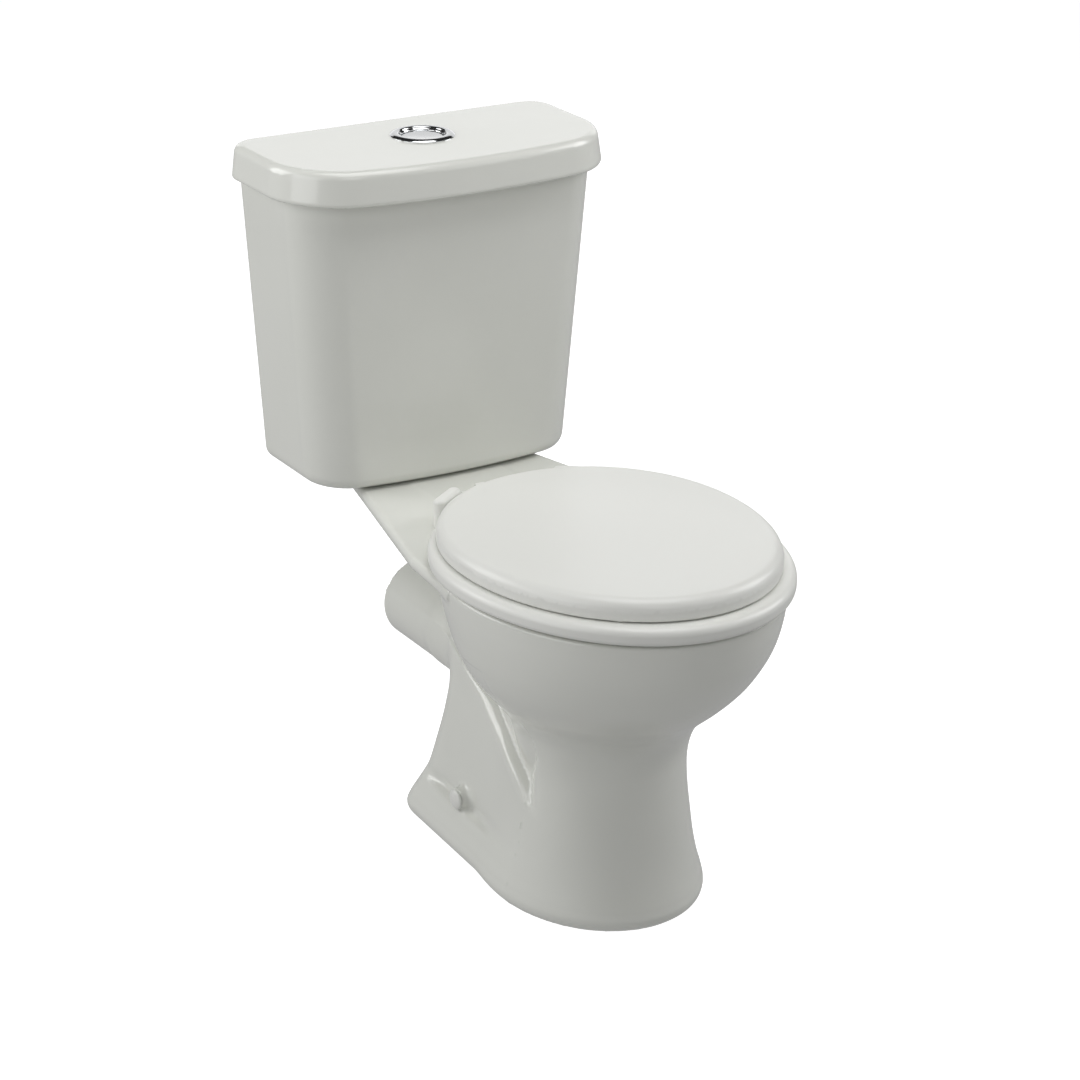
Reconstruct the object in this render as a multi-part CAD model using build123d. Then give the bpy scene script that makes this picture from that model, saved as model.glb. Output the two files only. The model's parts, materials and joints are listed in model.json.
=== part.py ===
from build123d import *
from math import atan2, cos, degrees, radians, sin, sqrt
import os

# A close coupled toilet in millimetres: +Z up, the user's side faces -Y, the wall is on the +Y side.
# The origin is on the floor under the middle of the whole toilet.
# Most places are given as a distance out from the wall: see out().

# ---------------------------------------------------------------- driving dimensions
PROJECTION = 709.0          # wall to the front of the seat
BACK = PROJECTION / 2       # y of the wall and of the cistern's flat back

RIM_TOP = 377.6             # top of the bowl's rim and of the shelf
RIM_MIDDLE = 478.6          # distance out of the widest part of the bowl, seat ring and cover
SHELF_THICK = 14.0
SHELF_EDGE = 6.0            # rounding of the shelf's edge
CHINA_WALL = 10.0           # thickness of the fired clay
RIM_HALF_OPENING = 132.0
RIM_LIP = 38.0              # depth of the flushing rim's inner lip

OUTLET_HEIGHT = 197.0       # centre of the horizontal waste outlet above the floor
OUTLET_END = 75.0           # distance out of the outlet's end
SPIGOT_RADIUS = 50.0        # plain end that takes the drain connector
SPIGOT_ROOT = 165.0         # distance out of the spigot's other end
TRAP_END = 185.0            # from here the trap narrows evenly to the spigot
TRAP_RADIUS = 51.2
TRAP_BORE = 40.0
COLUMN_MIDDLE = 480.0       # distance out of the widest part of the pedestal's front column
BOSS_OUT = 335.0            # fixing bosses at the sides of the foot
BOSS_HEIGHT = 66.0
BOSS_RADIUS = 13.0
BOSS_END = 100.0            # x of a boss's outer end
# Ridge on each side of the pedestal: distance out, height. The wall above it stands further in.
RIDGE = [(150, 236), (190, 222), (254, 213), (314, 198), (364, 181), (400, 164), (450, 139), (485, 121)]
RECESS_DEPTH = 11.0

CISTERN_BOTTOM = 380.0
CISTERN_TOP = 737.0
CISTERN_WALL = 9.0
CISTERN_FLOOR = 12.0
CISTERN_EDGE = 14.0         # rounding of the cistern's bottom edge
BOW_RADIUS = 790.0          # front faces of the cistern and its lid bow forward on this radius
BACK_CORNER = 15.0
VALVE_OUT = 84.0            # distance out of the flush valve, flush button and coupling bolts
COUPLING_X = 75.0
INLET_X = 128.0             # x of the water inlet in the cistern's floor

LID_TOP = 757.2
LID_BOTTOM = 719.0
LID_HALF = 207.0
LID_FRONT = 208.0
LID_BACK_CORNER = 30.0

BEZEL_RADIUS = 36.5
BEZEL_OPENING = 24.0
BUTTON_TOP = 756.6

HINGE_OUT = 270.0           # seat hinge line
HINGE_HEIGHT = 397.0
HINGE_STUD_X = 77.5         # half the standard 155 mm hole spacing
HINGE_STUD_OUT = 285.0
HINGE_PIN = 3.0
BARREL = 7.0
RUNNING_GAP = 0.06          # radial clearance of a turning fit
HINGE_SWEEP = 38.5          # the seat parts keep this far from the hinge line beside the brackets

RING_BOTTOM = 382.0
RING_TOP = 400.9
RING_HALF = 185.0
COVER_BOTTOM = 402.4
COVER_TOP = 425.0
COVER_HALF = 176.0
COVER_BACK = 284.0          # straight back edge of the cover, between the hinges

LOW = (Align.CENTER, Align.CENTER, Align.MIN)


# ---------------------------------------------------------------- small helpers
def out(distance):
    """The y of a place this far out from the wall."""
    return BACK - distance


def disc(radius, low, high, x=0.0, y=0.0):
    """Upright cylinder from height low to height high."""
    return Pos(x, y, low) * Cylinder(radius, high - low, align=LOW)


def tube(outer, inner, low, high, x=0.0, y=0.0):
    """Upright ring or pipe."""
    return disc(outer, low, high, x, y) - disc(inner, low - 1, high + 1, x, y)


def bar_x(radius, start, end, y, z):
    """Cylinder along X."""
    return Pos(start, y, z) * Rot(0, 90, 0) * Cylinder(radius, end - start, align=LOW)


def block(x_low, x_high, far, near, low, high):
    """Box between two x values, two distances out from the wall and two heights."""
    size = (x_high - x_low, far - near, high - low)
    return Pos((x_low + x_high) / 2, out((far + near) / 2), low) * Box(*size, align=LOW)


def both_sides(shape):
    """The shape and its mirror image across the middle plane."""
    return Compound(children=[shape, mirror(shape, about=Plane.YZ)])


def slab(outline, low, high):
    """Flat outline raised from height low to height high."""
    return extrude(Pos(0, 0, low) * outline, amount=high - low)


def egg(half_width, rear, middle, front, height=0.0):
    """Oval, widest at middle, with its ends at rear and front, all distances out from the wall."""
    centre = (0, out(middle))
    back = EllipticalCenterArc(centre, half_width, middle - rear, 0, arc_size=180)
    nose = EllipticalCenterArc(centre, half_width, front - middle, 180, arc_size=180)
    return Pos(0, 0, height) * make_face([back, nose])


def tank_outline(half_width, rear, front, front_radius, height=0.0, back_radius=BACK_CORNER):
    """Flat back, straight sides, rounded corners and a front bowed on BOW_RADIUS."""
    back_y = out(rear)
    bow_y = out(front) + BOW_RADIUS
    corner_x = half_width - front_radius
    corner_y = bow_y - sqrt((BOW_RADIUS - front_radius) ** 2 - corner_x**2)
    turn = degrees(atan2(corner_x, bow_y - corner_y))
    back_x = half_width - back_radius
    side_y = back_y - back_radius
    edges = [
        Line((-back_x, back_y), (back_x, back_y)),
        CenterArc((back_x, side_y), back_radius, 0, 90),
        Line((half_width, side_y), (half_width, corner_y)),
        CenterArc((corner_x, corner_y), front_radius, turn - 90, 90 - turn),
        CenterArc((0, bow_y), BOW_RADIUS, -90 - turn, 2 * turn),
        CenterArc((-corner_x, corner_y), front_radius, 180, 90 - turn),
        Line((-half_width, side_y), (-half_width, corner_y)),
        CenterArc((-back_x, side_y), back_radius, 90, 90),
    ]
    return Pos(0, 0, height) * make_face(edges)


def save(name, shape):
    """One STEP file per node."""
    export_step(shape, f"parts/{name}.step")


# ---------------------------------------------------------------- pan
def bowl_body():
    """The bowl as a stack of ovals: half width, rear, front at each height, from the rim to the sump."""
    levels = [
        (RIM_TOP, 178, 289, 699),
        (350, 175, 300, 695),
        (325, 170, 312, 687),
        (300, 163, 326, 672),
        (275, 151.5, 340, 653),
        (250, 133, 352, 628),
        (230, 115, 362, 605),
        (212, 101, 368, 586),
        (170, 84, 376, 548),
        (130, 70, 380, 522),
        (92, 58, 386, 504),
    ]
    faces = []
    for height, half_width, rear, front in levels:
        middle = RIM_MIDDLE + (445 - RIM_MIDDLE) * max(0.0, (250 - height) / 158)
        faces.append(egg(half_width, rear, middle, front, height))
    return loft(faces)


def bowl_cavity():
    """Inside of the bowl, from under the flushing rim down to the sump."""
    levels = [
        (366, 164, 306, 682),
        (340, 159, 316, 676),
        (300, 147, 336, 655),
        (275, 136, 350, 638),
        (250, 118, 362, 614),
        (225, 98, 372, 586),
        (180, 76, 388, 545),
        (140, 60, 392, 515),
        (104, 45, 400, 490),
    ]
    faces = []
    for height, half_width, rear, front in levels:
        middle = RIM_MIDDLE + (445 - RIM_MIDDLE) * max(0.0, (250 - height) / 158)
        faces.append(egg(half_width, rear, middle, front, height))
    return loft(faces)


def column(inset):
    """Front column of the pedestal, flaring to the foot: half width, middle, front at each height."""
    levels = [
        (0, 112, 455, 592),
        (14, 118, 452, 601),
        (30, 113, 456, 595),
        (60, 103, 470, 585),
        (100, 95.5, COLUMN_MIDDLE, 577),
        (140, 92, COLUMN_MIDDLE, 571),
        (180, 92, COLUMN_MIDDLE, 570),
        (216, 95, COLUMN_MIDDLE, 574),
    ]
    faces = []
    for height, half_width, middle, front in levels:
        faces.append(egg(half_width - inset, 390 + inset, middle, front - inset, height))
    return loft(faces)


def web_outline(rear_half, front_half, rear, corner, height):
    """Plan of the pedestal behind the column: narrow at the back, with rounded back corners."""
    points = [
        (front_half, out(COLUMN_MIDDLE)),
        (rear_half, out(rear)),
        (-rear_half, out(rear)),
        (-front_half, out(COLUMN_MIDDLE)),
    ]
    face = make_face(Polyline(*points, close=True))
    corners = face.vertices().sort_by(Axis.Y)[-2:]
    return Pos(0, 0, height) * fillet(corners, corner)


def web_body(inset):
    """Side panels under the trap: half width at the back and at the column, back edge."""
    levels = [
        (0, 96, 110, 196),
        (14, 101, 116, 199),
        (34, 96, 111, 207),
        (60, 88, 103, 222),
        (100, 80, 95.5, 232),
        (140, 72, 91, 238),
        (180, 62, 86, 234),
        (222, 50, 78, 220),
    ]
    faces = []
    for height, rear_half, front_half, rear in levels:
        args = (rear_half - inset, front_half - inset, rear + inset, 34 - inset / 2)
        faces.append(web_outline(*args, height))
    return loft(faces)


def side_walls(inset):
    """The web, set further in above the slanting ridge on each side."""
    above = [(distance, height - inset) for distance, height in RIDGE]
    above += [(RIDGE[-1][0], 300), (RIDGE[0][0], 300)]
    points = [(out(distance), height) for distance, height in above]
    profile = Plane.YZ * make_face(Polyline(*points, close=True))
    lower = web_body(inset) - extrude(profile, amount=130, both=True)
    return lower + web_body(inset + RECESS_DEPTH)


def waste_way(radius, end):
    """Round bar along the waste way: sump, up over the weir, then level to this distance out."""
    points = [
        (0, out(470), 104),
        (0, out(398), 104),
        (0, out(312), OUTLET_HEIGHT),
        (0, out(end), OUTLET_HEIGHT),
    ]
    path = FilletPolyline(*points, radius=46)
    start = Plane(origin=path @ 0, z_dir=path % 0)
    return sweep(start * Circle(radius), path=path)


def trap():
    """Outside of the waste way, with a plain spigot at its end."""
    taper = Cone(TRAP_RADIUS, SPIGOT_RADIUS, TRAP_END - SPIGOT_ROOT, align=LOW)
    spigot = Cylinder(SPIGOT_RADIUS, SPIGOT_ROOT - OUTLET_END, align=LOW)
    level = Rot(-90, 0, 0)
    pipe = waste_way(TRAP_RADIUS, TRAP_END)
    pipe += Pos(0, out(TRAP_END), OUTLET_HEIGHT) * level * taper
    return pipe + Pos(0, out(SPIGOT_ROOT), OUTLET_HEIGHT) * level * spigot


def shelf():
    """Plate that carries the cistern and the seat hinges."""
    points = [
        (176.0, out(450)),
        (167.0, out(352)),
        (101.0, out(76)),
        (92.0, out(30)),
        (-92.0, out(30)),
        (-101.0, out(76)),
        (-167.0, out(352)),
        (-176.0, out(450)),
    ]
    outline = make_face(Polyline(*points, close=True))
    plate = slab(outline, RIM_TOP - SHELF_THICK, RIM_TOP)
    uprights = plate.edges().filter_by(Axis.Z)
    corners = [edge for edge in uprights if edge.center().Y > out(60)]
    plate = fillet(corners, 28)
    rims = [edge for edge in plate.edges() if abs(edge.center().Z - RIM_TOP) < 0.01]
    rims += [edge for edge in plate.edges() if abs(edge.center().Z - RIM_TOP + SHELF_THICK) < 0.01]
    rims = [edge for edge in rims if edge.center().Y > out(440)]
    return fillet(rims, SHELF_EDGE)


def pan():
    """The fired clay pan: bowl, flushing rim, trap, shelf and hollow pedestal in one piece."""
    bowl = bowl_body()
    waste = trap()
    pedestal = column(0) + side_walls(0)
    room = column(CHINA_WALL) + side_walls(CHINA_WALL)
    room = room - bowl - waste
    china = bowl + shelf() + waste + pedestal
    china += block(-57, 57, 330, 36, 326, RIM_TOP - SHELF_THICK + 1)
    china -= room
    for side in (-1, 1):
        ends = sorted((side * 86, side * BOSS_END))
        china += bar_x(BOSS_RADIUS, *ends, out(BOSS_OUT), BOSS_HEIGHT)
    china -= bowl_cavity()
    china -= slab(egg(RIM_HALF_OPENING, 345, RIM_MIDDLE, 652), 330, RIM_TOP + 1)
    lip = slab(egg(RIM_HALF_OPENING + 8, 337, RIM_MIDDLE, 660), RIM_TOP - RIM_LIP, 368)
    lip -= slab(egg(RIM_HALF_OPENING, 345, RIM_MIDDLE, 652), 330, RIM_TOP + 1)
    china += lip
    china -= waste_way(TRAP_BORE, OUTLET_END - 2)
    # Flush water: recess for the doughnut washer, drop hole, then a way under the shelf to the rim.
    china -= disc(50, RIM_TOP - 17, RIM_TOP + 1, 0, out(VALVE_OUT))
    china -= disc(39, 336, RIM_TOP, 0, out(VALVE_OUT))
    china -= block(-34, 34, 318, 50, 336, RIM_TOP - SHELF_THICK - 2)
    for side in (-1, 1):
        china -= disc(5.5, 340, RIM_TOP + 1, side * COUPLING_X, out(VALVE_OUT))
        china -= disc(5.0, 340, RIM_TOP + 1, side * HINGE_STUD_X, out(HINGE_STUD_OUT))
        ends = sorted((side * 60, side * (BOSS_END + 5)))
        china -= bar_x(3.4, *ends, out(BOSS_OUT), BOSS_HEIGHT)
        ends = sorted((side * (BOSS_END - 6), side * (BOSS_END + 5)))
        china -= bar_x(8.0, *ends, out(BOSS_OUT), BOSS_HEIGHT)
    return china


# ---------------------------------------------------------------- cistern and its fixings
def cistern():
    """Open topped tank, tapering downward, with holes for both valves, bolts and wall screws."""
    outer = loft(
        [
            tank_outline(165.9, 0, 169, 46, CISTERN_BOTTOM),
            tank_outline(191.9, 0, 185.3, 50, CISTERN_TOP),
        ],
        ruled=True,
    )
    bottom_rim = outer.faces().sort_by(Axis.Z)[0].edges()
    outer = fillet(bottom_rim, CISTERN_EDGE)
    inner = loft(
        [
            tank_outline(157.5, CISTERN_WALL, 160, 38, CISTERN_BOTTOM + CISTERN_FLOOR, 8),
            tank_outline(182.9, CISTERN_WALL, 176.3, 42, CISTERN_TOP + 0.5, 8),
        ],
        ruled=True,
    )
    tank = outer - inner
    valve_y = out(VALVE_OUT)
    tank -= disc(32.5, 370, 400, 0, valve_y)
    tank -= disc(12, 370, 400, INLET_X, valve_y)
    for side in (-1, 1):
        tank -= disc(5.5, 370, 400, side * COUPLING_X, valve_y)
        hole = Pos(side * 110, BACK + 1, 640) * Rot(90, 0, 0) * Cylinder(3.5, 20, align=LOW)
        tank -= hole
    return tank


def wing_nut(bore, low, height, hub, span):
    """Hub with two flat wings along X."""
    nut = disc(hub, low, low + height)
    nut += block(-span, span, BACK + 2, BACK - 2, low + 1, low + height - 1)
    return nut - disc(bore, low - 1, low + height + 1)


def pairs(shape, x, distance):
    """Two copies of a shape, at this distance out, left and right of the middle."""
    copies = [Pos(side * x, out(distance), 0) * shape for side in (-1, 1)]
    return Compound(children=copies)


def coupling_bolt():
    head = disc(9, 397.0, 402.0)
    slot = Pos(0, 0, 401) * Box(12, 1.6, 2.5)
    return head - slot + disc(4, 338, 397.5)


def save_coupling_set():
    """Two bolts with washers and wing nuts clamp the cistern to the shelf."""
    shelf_under = RIM_TOP - SHELF_THICK
    floor_top = CISTERN_BOTTOM + CISTERN_FLOOR
    save("coupling_bolts", pairs(coupling_bolt(), COUPLING_X, VALVE_OUT))
    rubber = tube(11, 4.1, floor_top, floor_top + 3.2)
    save("coupling_rubber_washers", pairs(rubber, COUPLING_X, VALVE_OUT))
    plates = tube(12, 4.1, floor_top + 3.2, 397) + tube(12, 4.1, shelf_under - 1.8, shelf_under)
    save("coupling_plate_washers", pairs(plates, COUPLING_X, VALVE_OUT))
    nut = wing_nut(4.05, shelf_under - 13.8, 12, 7.5, 16)
    save("coupling_wing_nuts", pairs(nut, COUPLING_X, VALVE_OUT))
    ring = tube(49.5, 36.6, RIM_TOP - 16.8, CISTERN_BOTTOM)
    save("doughnut_washer", Pos(0, out(VALVE_OUT), 0) * ring)


# ---------------------------------------------------------------- flush valve
ROCKER_X = 9.0              # pivot of the rocker that turns the button's push into a lift
ROCKER_Z = 672.0
ROD_X = -7.0
SEAT_TOP = 402.0
SPINDLE_TOP = 650.0


def flush_valve_body():
    """Threaded tail, flange, valve seat, cage and the rocker's two cheeks."""
    floor_top = CISTERN_BOTTOM + CISTERN_FLOOR
    body = disc(31.5, 361.5, floor_top + 3) + disc(44, floor_top + 3, floor_top + 7)
    body += disc(30, floor_top + 7, SEAT_TOP)
    body -= disc(25, 350, SEAT_TOP + 1)
    for turn in range(4):
        angle = radians(45 + 90 * turn)
        body += disc(3.5, floor_top + 5, 622, 38 * cos(angle), 38 * sin(angle))
    hub = tube(18, 13.4, 360, 372)
    for turn in range(3):
        hub += Rot(0, 0, 120 * turn) * Pos(0, 0, 362) * Box(52, 3, 8, align=LOW)
    body += hub - disc(13.4, 350, 380)
    body += disc(43, 618, 624) - disc(14.6, 600, 640)
    for side in (-1, 1):
        cheek = Pos(ROCKER_X, side * 17, 622) * Box(12, 3, 56, align=LOW)
        body += cheek
    body -= Pos(ROCKER_X, 25, ROCKER_Z) * Rot(90, 0, 0) * Cylinder(2.0, 50, align=LOW)
    return Pos(0, out(VALVE_OUT), 0) * body


def rocker():
    """Lever on a cross pin: the rod pushes its left end down and its right end lifts the spindle."""
    lever = Pos(6, 0, ROCKER_Z - 2) * Box(46, 12, 4, align=LOW)
    lever += Pos(ROCKER_X, 15, ROCKER_Z) * Rot(90, 0, 0) * Cylinder(4.5, 30, align=LOW)
    lever -= Pos(ROCKER_X, 25, ROCKER_Z) * Rot(90, 0, 0) * Cylinder(2.0 + RUNNING_GAP, 50, align=LOW)
    return Pos(0, out(VALVE_OUT), 0) * lever


def rocker_pin():
    pin = Pos(ROCKER_X, 19.5, ROCKER_Z) * Rot(90, 0, 0) * Cylinder(2.0, 39, align=LOW)
    return Pos(0, out(VALVE_OUT), 0) * pin


def valve_spindle():
    """Overflow pipe that lifts off the seat, with a hook over the rocker's right end."""
    pipe = tube(13, 11, 408, SPINDLE_TOP) + tube(24, 11, 408, 412)
    hook = Pos(22, 0, 640) * Box(24, 10, 6, align=LOW)
    hook += Pos(36, 0, 640) * Box(4, 10, 39.6, align=LOW)
    hook += Pos(29.5, 0, ROCKER_Z + 2.6) * Box(13, 10, 5, align=LOW)
    hook -= disc(11.5, 630, 660)
    return Pos(0, out(VALVE_OUT), 0) * (pipe + hook)


def save_flush_valve():
    floor_top = CISTERN_BOTTOM + CISTERN_FLOOR
    y = out(VALVE_OUT)
    save("flush_valve_body", flush_valve_body())
    save("flush_valve_gasket", tube(42, 31.7, floor_top, floor_top + 3, 0, y))
    save("flush_valve_backnut", tube(36, 31.6, 363.5, CISTERN_BOTTOM, 0, y))
    save("valve_spindle", valve_spindle())
    save("valve_seal", tube(29, 13.2, SEAT_TOP, 408, 0, y))
    save("valve_rocker", rocker())
    save("rocker_pin", rocker_pin())


# ---------------------------------------------------------------- fill valve
FLOAT_PIVOT_X = 108.5
FLOAT_PIVOT_Z = 622.0
FLOAT_X = 76.0


def fill_valve_body():
    """Threaded tail below the cistern, flange, riser and valve head with two pivot cheeks."""
    floor_top = CISTERN_BOTTOM + CISTERN_FLOOR
    body = disc(10.4, 338, floor_top + 3) + disc(18, floor_top + 3, floor_top + 7)
    body += disc(9, floor_top + 5, 600) + disc(14, 596, 640)
    body += disc(6, 420, 600, 17, 0) + Pos(9, 0, 596) * Box(28, 20, 8, align=LOW)
    for side in (-1, 1):
        body += Pos(-14, side * 9.5, 614) * Box(22, 3, 16, align=LOW)
    body -= disc(6.5, 330, 592)
    body -= tube(12, 9.6, CISTERN_BOTTOM - 11, CISTERN_BOTTOM - 9)
    pivot = FLOAT_PIVOT_X - INLET_X
    body -= Pos(pivot, 15, FLOAT_PIVOT_Z) * Rot(90, 0, 0) * Cylinder(1.5, 30, align=LOW)
    return Pos(INLET_X, out(VALVE_OUT), 0) * body


def float_arm():
    """Arm from the pivot to the float, with a nib that works the valve."""
    reach = FLOAT_PIVOT_X - FLOAT_X
    arm = Pos(-reach / 2, 0, -2.5) * Box(reach + 4, 8, 5, align=LOW)
    arm += Pos(0, 7.4, 0) * Rot(90, 0, 0) * Cylinder(4, 14.8, align=LOW)
    arm -= Pos(0, 15, 0) * Rot(90, 0, 0) * Cylinder(1.5 + RUNNING_GAP, 30, align=LOW)
    return Pos(FLOAT_PIVOT_X, out(VALVE_OUT), FLOAT_PIVOT_Z) * arm


def float_cup():
    """Hollow float, closed on top, that hangs under the end of the arm."""
    cup = disc(19, 574, 619.5)
    cup = fillet(cup.edges().group_by(Axis.Z)[-1], 5)
    cup -= disc(17, 570, 617)
    return Pos(FLOAT_X, out(VALVE_OUT), 0) * cup


def save_fill_valve():
    floor_top = CISTERN_BOTTOM + CISTERN_FLOOR
    y = out(VALVE_OUT)
    save("fill_valve_body", fill_valve_body())
    save("fill_valve_washer", tube(17, 10.6, floor_top, floor_top + 3, INLET_X, y))
    nut = extrude(RegularPolygon(17, 6), amount=9)
    nut = Pos(INLET_X, y, CISTERN_BOTTOM - 9) * nut - disc(10.5, 360, 390, INLET_X, y)
    save("fill_valve_backnut", nut)
    cap = tube(15.5, 14.1, 632, 642, INLET_X, y) + disc(15.5, 640.2, 645, INLET_X, y)
    save("fill_valve_cap", cap)
    pin = Pos(FLOAT_PIVOT_X, y + 12, FLOAT_PIVOT_Z) * Rot(90, 0, 0) * Cylinder(1.5, 24, align=LOW)
    save("float_pivot_pin", pin)
    save("float_arm", float_arm())
    save("float_cup", float_cup())


# ---------------------------------------------------------------- cistern lid and button
def cistern_lid():
    """Lid with a skirt over the cistern's front and sides, and a locating rib inside its rim."""
    lid = loft(
        [
            tank_outline(LID_HALF, 0, LID_FRONT, 74, LID_BOTTOM, LID_BACK_CORNER),
            tank_outline(LID_HALF - 4.6, 0, LID_FRONT - 5, 72, LID_TOP, LID_BACK_CORNER),
        ],
        ruled=True,
    )
    top_rim = lid.faces().sort_by(Axis.Z)[-1].edges()
    lid = fillet(top_rim, 8)
    low_rim = lid.faces().sort_by(Axis.Z)[0].edges()
    lid = fillet(low_rim, 3)
    lid -= slab(tank_outline(193.4, -30, 188.2, 52), LID_BOTTOM - 1, CISTERN_TOP + 0.4)
    lid -= slab(tank_outline(174, 18, 166, 36), CISTERN_TOP, 747)
    rib = slab(tank_outline(178, 14, 170, 38), CISTERN_TOP - 6, 742)
    rib -= slab(tank_outline(174, 18, 166, 36), CISTERN_TOP - 7, 747)
    lid += rib
    return lid - disc(27, 740, 760, 0, out(VALVE_OUT))


def button_bezel():
    """Raised ring with a threaded sleeve through the lid and a ledge that carries the spring."""
    sleeve = tube(26, BEZEL_OPENING, 731, LID_TOP)
    ledge = tube(26, 17, 737, 740)
    low, crest = LID_TOP, LID_TOP + 3
    profile = Polyline(
        (BEZEL_OPENING, low), (BEZEL_RADIUS, low), (BEZEL_RADIUS, low + 0.8), (30, crest),
        (28, crest), (BEZEL_OPENING, low + 0.6), close=True,
    )
    section = Plane.XZ * make_face(profile)
    ring = revolve(section, Axis.Z)
    return Pos(0, out(VALVE_OUT), 0) * (sleeve + ledge + ring)


def flush_button():
    """Round push button with a hollow underside and a socket for the push rod."""
    knob = disc(BEZEL_OPENING - 0.5, BUTTON_TOP - 5, BUTTON_TOP)
    knob = fillet(knob.edges().group_by(Axis.Z)[-1], 1.5)
    knob += tube(16, 14, 744, BUTTON_TOP - 4)
    knob += disc(4.5, 744, BUTTON_TOP - 4, ROD_X, 0)
    knob -= disc(2.5, 743, 752, ROD_X, 0)
    return Pos(0, out(VALVE_OUT), 0) * knob


def button_spring():
    """Coil spring between the bezel's ledge and the button."""
    wire, radius, low, high = 0.8, 20.0, 740.9, BUTTON_TOP - 5.9
    helix = Helix(pitch=(high - low) / 3, height=high - low, radius=radius)
    start = Plane(origin=helix @ 0, z_dir=helix % 0)
    coil = sweep(start * Circle(wire), path=helix)
    return Pos(0, out(VALVE_OUT), low) * coil


def save_lid_parts():
    y = out(VALVE_OUT)
    save("cistern_lid", cistern_lid())
    save("button_bezel", button_bezel())
    save("bezel_nut", tube(33, 26.1, 740, 747, 0, y))
    save("flush_button", flush_button())
    save("push_rod", disc(2.45, ROCKER_Z + 2.4, 752, ROD_X, y))
    save("button_spring", button_spring())


# ---------------------------------------------------------------- seat, cover and hinges
def seat_notch(low, high):
    """Room round the hinge brackets, swept about the hinge line so the seat can be raised."""
    sweep_bar = bar_x(HINGE_SWEEP, 57, 118, out(HINGE_OUT), HINGE_HEIGHT)
    behind = block(57, 118, HINGE_OUT, 230, low - 1, high + 1)
    return both_sides(sweep_bar + behind)


def hinge_knuckle(x_low, x_high, reach, low, high):
    """Barrel on the hinge line and the arm that joins it to a seat part, on both sides."""
    y = out(HINGE_OUT)
    knuckle = bar_x(BARREL, x_low, x_high, y, HINGE_HEIGHT)
    knuckle += block(x_low, x_high, HINGE_OUT + BARREL, HINGE_OUT - BARREL, HINGE_HEIGHT, high)
    knuckle += block(x_low, x_high, reach, HINGE_OUT, low, high)
    knuckle -= bar_x(HINGE_PIN + RUNNING_GAP, x_low - 1, x_high + 1, y, HINGE_HEIGHT)
    return both_sides(knuckle)


def seat_ring():
    """Oval ring with rounded edges and two hinge knuckles."""
    outer = slab(egg(RING_HALF, 278, RIM_MIDDLE, PROJECTION), RING_BOTTOM, RING_TOP)
    outer = fillet(outer.edges().group_by(Axis.Z)[-1], 9)
    outer = fillet(outer.edges().group_by(Axis.Z)[0], 5)
    opening = slab(egg(112, 372, RIM_MIDDLE, 622), RING_BOTTOM - 1, RING_TOP + 1)
    ring = outer - opening
    ring = fillet(opening_edges(ring, RING_TOP, 160), 6)
    ring -= seat_notch(RING_BOTTOM, RING_TOP)
    return ring + hinge_knuckle(41, 55, 292, HINGE_HEIGHT - 5, RING_TOP - 0.5)


def opening_edges(shape, height, limit):
    """Edges at this height whose whole length lies within limit of the bowl's middle."""
    centre = Vector(0, out(RIM_MIDDLE), height)
    level = [edge for edge in shape.edges() if abs(edge.center().Z - height) < 0.01]
    return [edge for edge in level if (edge @ 0.5 - centre).length < limit]


def cover_outline(inset=0.0):
    """Oval in front, fuller behind, with a straight back edge between the hinges."""
    half_width = COVER_HALF - inset
    reach = RIM_MIDDLE - COVER_BACK - inset
    nose = 695.0 - inset - RIM_MIDDLE
    fullness = 2.45
    points = []
    for step in range(13):
        angle = radians(7.5 * step)
        x = half_width * cos(angle) ** (2 / fullness)
        y = reach * sin(angle) ** (2 / fullness)
        points.append((x, out(RIM_MIDDLE) + y))
    right = Spline(*points, tangents=[(0, 1), (-1, 0)])
    left = mirror(right, about=Plane.YZ)
    front = EllipticalCenterArc((0, out(RIM_MIDDLE)), half_width, nose, 180, arc_size=180)
    return make_face([right, left, front])


def seat_cover():
    """Hollow moulded cover: rolled edge, flat top, band that rests on the ring, two knuckles."""
    shell = slab(cover_outline(), COVER_BOTTOM, COVER_TOP)
    shell = fillet(shell.edges().group_by(Axis.Z)[-1], 12)
    shell = fillet(shell.edges().group_by(Axis.Z)[0], 3)
    shell -= slab(cover_outline(18), COVER_BOTTOM - 1, COVER_TOP - 4.5)
    shell -= seat_notch(COVER_BOTTOM, COVER_TOP)
    return shell + hinge_knuckle(23, 37, 296, COVER_BOTTOM, COVER_BOTTOM + 6)


def hinge_bracket():
    """Rounded block beside the seat that holds the pin; its long axis follows the seat's edge."""
    pill = SlotCenterToCenter(34, 15)
    raised = extrude(pill, amount=33.6)
    raised = fillet(raised.edges().group_by(Axis.Z)[-1], 5)
    raised = Pos(82, out(283), RIM_TOP + 0.2) * Rot(0, 0, -35) * raised
    arm = block(58.5, 74, 277, 263, RIM_TOP + 0.2, HINGE_HEIGHT + 7)
    bracket = raised + arm
    bracket -= bar_x(HINGE_PIN, 50, 72, out(HINGE_OUT), HINGE_HEIGHT)
    stud_hole = disc(4.0, RIM_TOP - 1, HINGE_HEIGHT - 6, HINGE_STUD_X, out(HINGE_STUD_OUT))
    return bracket - stud_hole


def save_hinges():
    under = RIM_TOP - SHELF_THICK
    save("hinge_brackets", both_sides(hinge_bracket()))
    pin = bar_x(HINGE_PIN, 21, 72, out(HINGE_OUT), HINGE_HEIGHT)
    save("hinge_pins", both_sides(pin))
    stud = disc(4.0, 345, HINGE_HEIGHT - 6)
    save("hinge_studs", pairs(stud, HINGE_STUD_X, HINGE_STUD_OUT))
    washer = tube(12, 4.1, under - 3, under)
    save("hinge_rubber_washers", pairs(washer, HINGE_STUD_X, HINGE_STUD_OUT))
    nut = wing_nut(4.05, under - 13, 10, 7.5, 16)
    save("hinge_wing_nuts", pairs(nut, HINGE_STUD_X, HINGE_STUD_OUT))


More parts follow.
